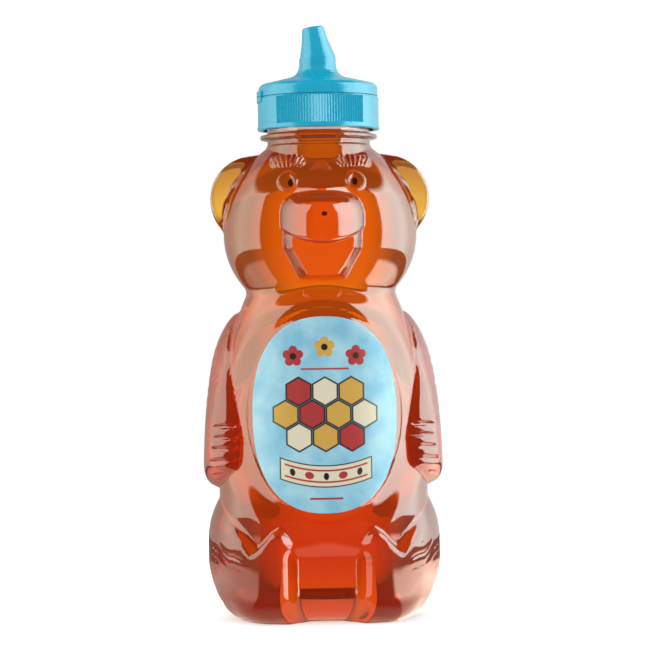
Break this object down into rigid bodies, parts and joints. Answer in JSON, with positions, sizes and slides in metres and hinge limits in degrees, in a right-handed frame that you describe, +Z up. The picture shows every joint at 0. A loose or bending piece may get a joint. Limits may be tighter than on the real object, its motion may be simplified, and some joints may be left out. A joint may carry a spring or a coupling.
{
  "type": "bear-shaped squeeze bottle",
  "caption": "Blow-moulded clear squeeze bottle in the shape of a seated bear, filled with honey, with a ribbed screw closure and a flip-top lid over a tall spout.",
  "frame": {"origin": "on the floor, on the axis of the neck, at the middle of the footprint", "axes": "+Z up the neck's axis; the bear faces -Y; +X is the bear's left hand, to the right in the picture; the lid's hinge is at -X"},
  "size_m": [0.0816, 0.0692, 0.2026],
  "materials": {
    "clear_pet": "clear glossy blow-moulded PET, IOR 1.5",
    "honey": "clear amber honey, no bubbles",
    "foil": "thin aluminium foil, sealed to the rim",
    "label_film": "printed plastic film, satin",
    "foam": "white polyethylene foam",
    "blue_polypropylene": "sky-blue moulded polypropylene, satin"
  },
  "bodies": {
    "bottle_body": {"bottle": "clear_pet", "honey": "honey", "foil_seal": "foil", "front_label": "label_film"},
    "liner_body": {"liner_ring": "foam"},
    "cap_body": {"cap_base": "blue_polypropylene"},
    "lid_body": {"lid": "blue_polypropylene"}
  },
  "joints": [
    {"name": "cap_lift", "type": "slide", "parent": "bottle_body", "child": "liner_body", "axis": [0, 0, 1], "range_m": [0, 0.0135]},
    {"name": "cap_turn", "type": "hinge", "parent": "liner_body", "child": "cap_body", "pos_m": [0, 0, 0.17], "axis": [0, 0, 1], "range_deg": [0, 1080]},
    {"name": "lid_flip", "type": "hinge", "parent": "cap_body", "child": "lid_body", "pos_m": [-0.02105, 0, 0.1782], "axis": [0, -1, 0], "range_deg": [0, 140]}
  ],
  "couplings": [
    {"joint": "cap_lift", "follows": "cap_turn", "m_per_rad": 0.0006737}
  ]
}
